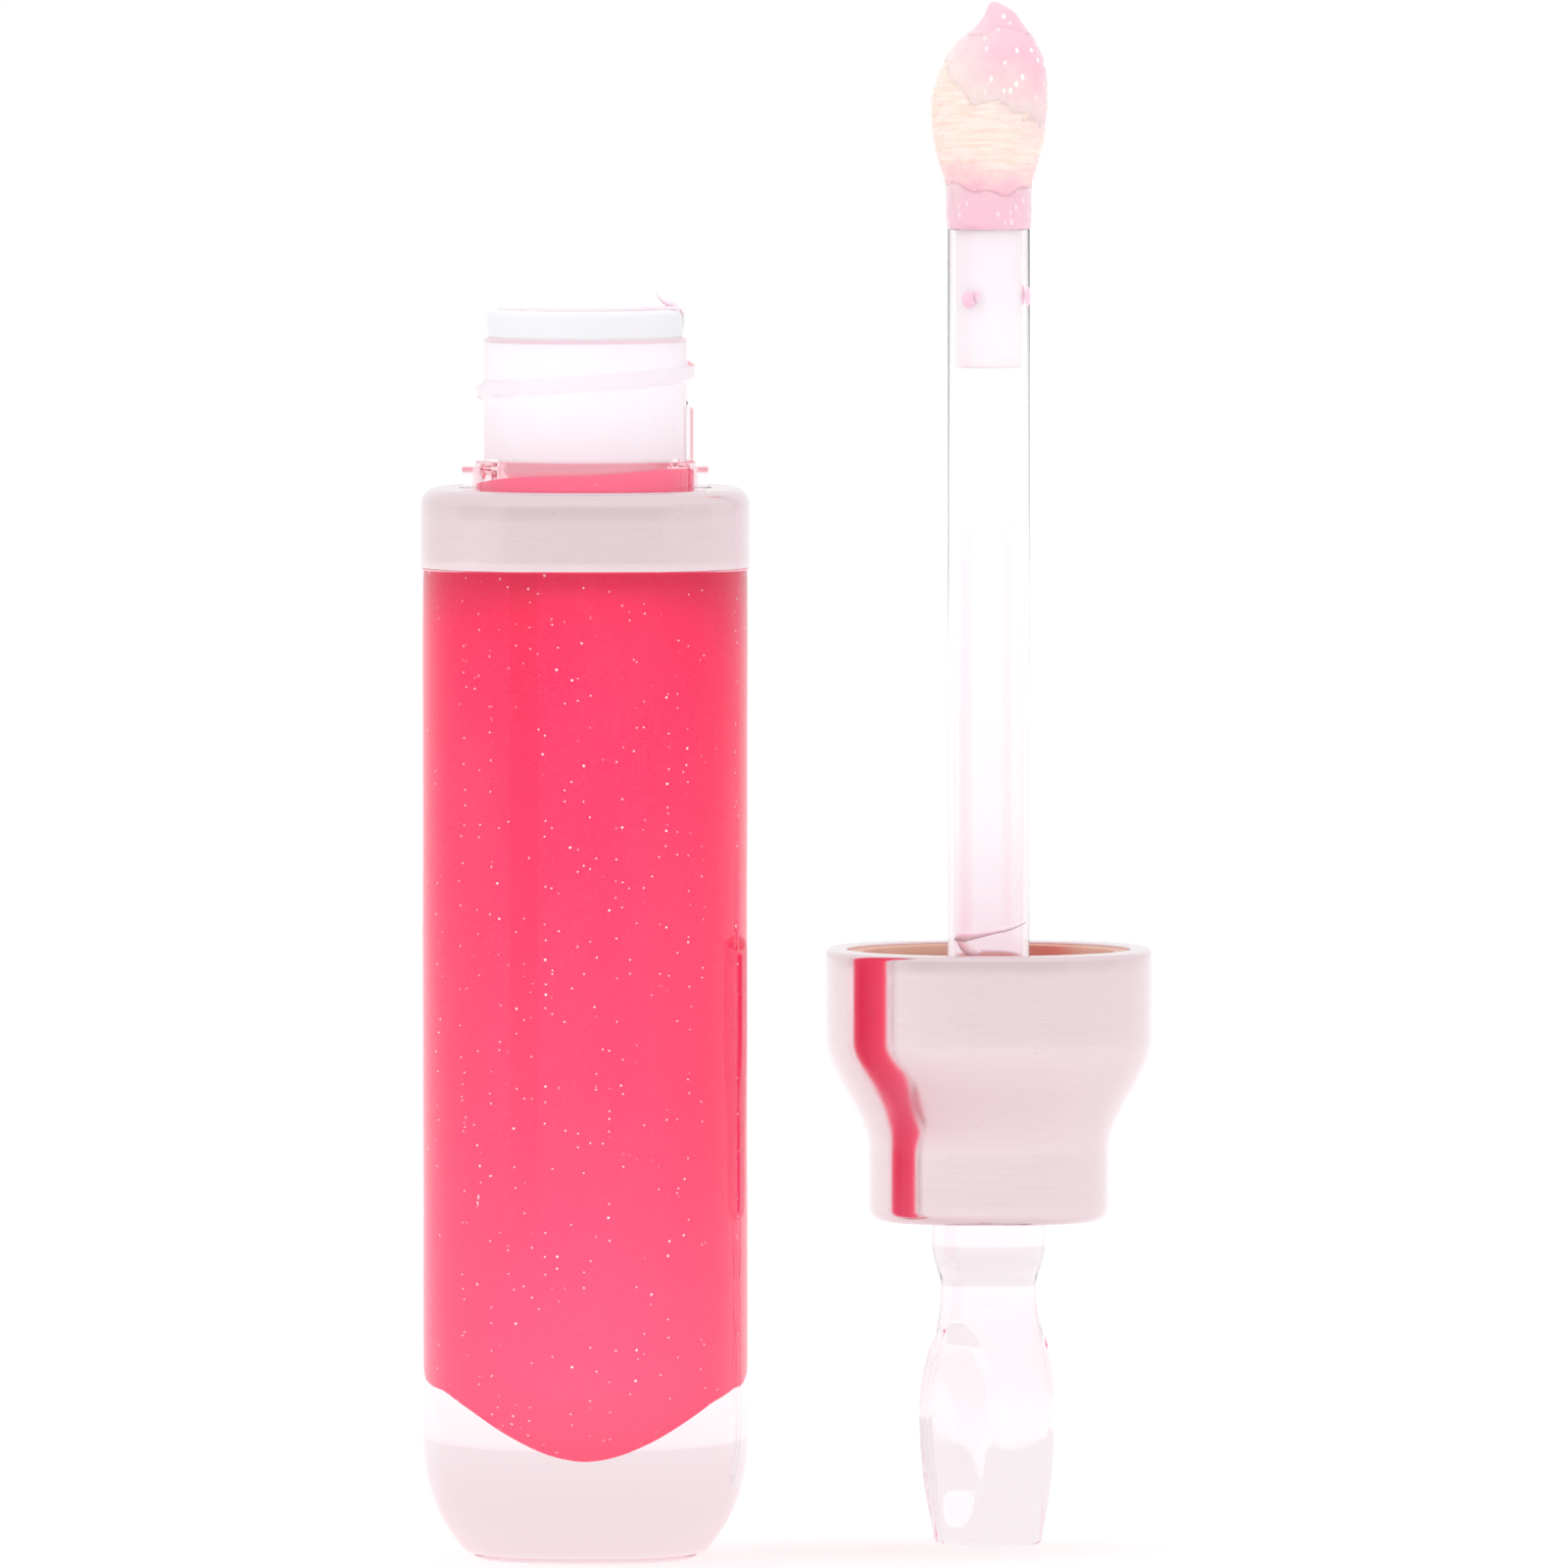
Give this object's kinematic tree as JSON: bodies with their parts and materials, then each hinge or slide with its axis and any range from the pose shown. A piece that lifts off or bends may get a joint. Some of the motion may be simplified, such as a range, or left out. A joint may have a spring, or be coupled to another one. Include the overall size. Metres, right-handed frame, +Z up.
{
  "type": "lip gloss tube",
  "caption": "Square clear lip gloss tube standing open beside its screw cap wand, with wiper, gloss fill, gasket, clear stem, flocked applicator and sculpted clear handle.",
  "frame": {"origin": "centre of the bottle's flat base, on the surface the tube stands on", "axes": "+Z up along the bottle, +X to the right, where the wand unit stands 24 mm off and 10 mm back, -Y is the front"},
  "size_m": [0.0436, 0.0295, 0.0922],
  "materials": {
    "clear_body": "polished clear heavy-wall plastic",
    "rose_metal": "metallised rose gold, very fine brushing",
    "rose_inner": "moulded, warm rose gold",
    "wiper_white": "soft moulded polyethylene",
    "seal_white": "foamed liner",
    "gloss_pink": "wet pink gel with fine white glitter",
    "clear_handle": "polished clear solid plastic",
    "clear_stem": "clear extruded tube",
    "plug_white": "moulded",
    "core_soft": "soft elastomer",
    "flock": "short flocked fibres, soaked with gloss"
  },
  "bodies": {
    "bottle": {"bottle_body": "clear_body", "shoulder_collar": "rose_metal", "wiper": "wiper_white", "gloss_fill": "gloss_pink", "mouth_smear": "gloss_pink"},
    "drop": {"gloss_drop": "gloss_pink"},
    "seal": {"seal_ring": "seal_white"},
    "wand": {"handle": "clear_handle", "cap_shell": "rose_metal", "inner_cap": "rose_inner", "stem": "clear_stem", "tip_plug": "plug_white", "tip_core": "core_soft", "flock_pad": "flock", "gloss_coat": "gloss_pink"}
  },
  "joints": [
    {"name": "wand_flip", "type": "hinge", "parent": "bottle", "child": "drop", "pos_m": [0.012, 0.00497, 0.0845], "axis": [0.3827, -0.9239, 0], "range_deg": [0, 180]},
    {"name": "wand_insert", "type": "slide", "parent": "drop", "child": "seal", "axis": [0, 0, 1], "range_m": [0, 0.06975], "deforming": ["gloss_drop", "mouth_smear"]},
    {"name": "cap_turn", "type": "hinge", "parent": "seal", "child": "wand", "pos_m": [0.024, 0.00994, 0], "axis": [0, 0, 1], "range_deg": [0, 315]}
  ]
}
